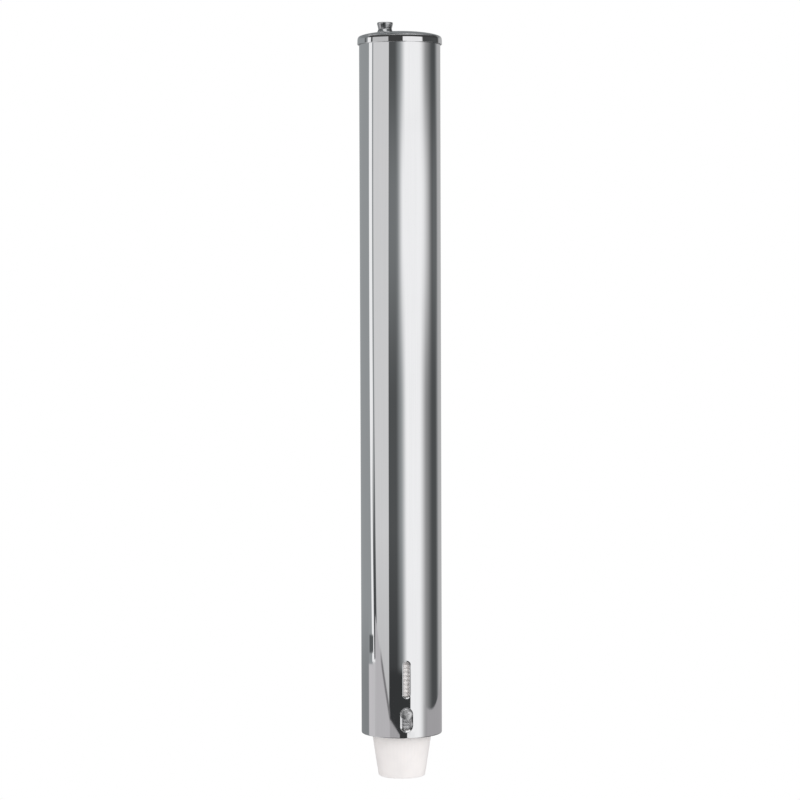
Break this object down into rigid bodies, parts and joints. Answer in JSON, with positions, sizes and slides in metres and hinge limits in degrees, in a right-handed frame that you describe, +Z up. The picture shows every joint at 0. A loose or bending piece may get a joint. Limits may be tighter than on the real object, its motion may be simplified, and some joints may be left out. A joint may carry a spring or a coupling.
{
  "type": "cup dispenser",
  "caption": "Wall-hung pull-type cup dispenser: upright polished tube with lift-off knobbed lid, level window, adjustable spring fingers and a nested cup stack.",
  "frame": {"origin": "on the rear face of the upper wall bracket, on the flat pad below its keyhole, in line with the tube's axis", "axes": "+Z up along the tube, -Y to the front with the level window, +Y into the wall, +X to the right as seen from the front"},
  "size_m": [0.0834, 0.0918, 0.7459],
  "materials": {
    "polished_steel": "polished stainless steel, close to a mirror",
    "bracket_steel": "rolled sheet, satin",
    "rivet_steel": "satin, pressed",
    "spring_steel": "satin spring strip",
    "screw_steel": "bright, slightly mottled",
    "cup_plastic": "thin off-white thermoformed plastic, semi-gloss"
  },
  "bodies": {
    "housing": {"outer_tube": "polished_steel", "upper_wall_bracket": "bracket_steel", "lower_wall_bracket": "bracket_steel", "bracket_rivet_1": "rivet_steel", "bracket_rivet_2": "rivet_steel", "bracket_rivet_3": "rivet_steel", "bracket_rivet_4": "rivet_steel", "bracket_rivet_5": "rivet_steel", "bracket_rivet_6": "rivet_steel", "bracket_rivet_7": "rivet_steel", "bracket_rivet_8": "rivet_steel"},
    "lid": {"lid": "polished_steel", "lid_knob": "polished_steel", "lid_knob_screw": "bracket_steel"},
    "bottom_cup": {"bottom_cup": "cup_plastic"},
    "cup_stack": {"stack_cup_01": "cup_plastic", "stack_cup_02": "cup_plastic", "stack_cup_03": "cup_plastic", "stack_cup_04": "cup_plastic", "stack_cup_05": "cup_plastic", "stack_cup_06": "cup_plastic", "stack_cup_07": "cup_plastic", "stack_cup_08": "cup_plastic", "stack_cup_09": "cup_plastic", "stack_cup_10": "cup_plastic"},
    "adjuster_1": {"adjuster_plate_1": "spring_steel"},
    "finger_1": {"holding_finger_1": "spring_steel"},
    "clamp_1": {"clamp_screw_1": "screw_steel"},
    "adjuster_2": {"adjuster_plate_2": "spring_steel"},
    "finger_2": {"holding_finger_2": "spring_steel"},
    "clamp_2": {"clamp_screw_2": "screw_steel"},
    "adjuster_3": {"adjuster_plate_3": "spring_steel"},
    "finger_3": {"holding_finger_3": "spring_steel"},
    "clamp_3": {"clamp_screw_3": "screw_steel"}
  },
  "joints": [
    {"name": "lid_lift", "type": "slide", "parent": "housing", "child": "lid", "axis": [0, 0, 1], "range_m": [0, 0.06]},
    {"name": "cup_pull", "type": "slide", "parent": "housing", "child": "bottom_cup", "axis": [0, 0, -1], "range_m": [0, 0.09]},
    {"name": "stack_drop", "type": "slide", "parent": "housing", "child": "cup_stack", "axis": [0, 0, -1], "range_m": [0, 0.0042]},
    {"name": "adjuster_1_slide", "type": "slide", "parent": "housing", "child": "adjuster_1", "axis": [0, 0, -1], "range_m": [0, 0.005]},
    {"name": "finger_1_flex", "type": "hinge", "parent": "adjuster_1", "child": "finger_1", "pos_m": [0, -0.08655, -0.5895], "axis": [1, 0, 0], "range_deg": [0, 1.8], "stiffness_Nm_per_rad": 0.2},
    {"name": "clamp_1_turn", "type": "hinge", "parent": "adjuster_1", "child": "clamp_1", "pos_m": [0, -0.088, -0.576], "axis": [0, -1, 0], "range_deg": [0, 180]},
    {"name": "adjuster_2_slide", "type": "slide", "parent": "housing", "child": "adjuster_2", "axis": [0, 0, -1], "range_m": [0, 0.005]},
    {"name": "finger_2_flex", "type": "hinge", "parent": "adjuster_2", "child": "finger_2", "pos_m": [0.03165, -0.03173, -0.5895], "axis": [-0.5, 0.866, 0], "range_deg": [0, 1.8], "stiffness_Nm_per_rad": 0.2},
    {"name": "clamp_2_turn", "type": "hinge", "parent": "adjuster_2", "child": "clamp_2", "pos_m": [0.03291, -0.031, -0.576], "axis": [0.866, 0.5, 0], "range_deg": [0, 180]},
    {"name": "adjuster_3_slide", "type": "slide", "parent": "housing", "child": "adjuster_3", "axis": [0, 0, -1], "range_m": [0, 0.005]},
    {"name": "finger_3_flex", "type": "hinge", "parent": "adjuster_3", "child": "finger_3", "pos_m": [-0.03165, -0.03173, -0.5895], "axis": [-0.5, -0.866, 0], "range_deg": [0, 1.8], "stiffness_Nm_per_rad": 0.2},
    {"name": "clamp_3_turn", "type": "hinge", "parent": "adjuster_3", "child": "clamp_3", "pos_m": [-0.03291, -0.031, -0.576], "axis": [-0.866, 0.5, 0], "range_deg": [0, 180]}
  ],
  "couplings": [
    {"joint": "stack_drop", "follows": "cup_pull", "ratio": 0.0466}
  ]
}
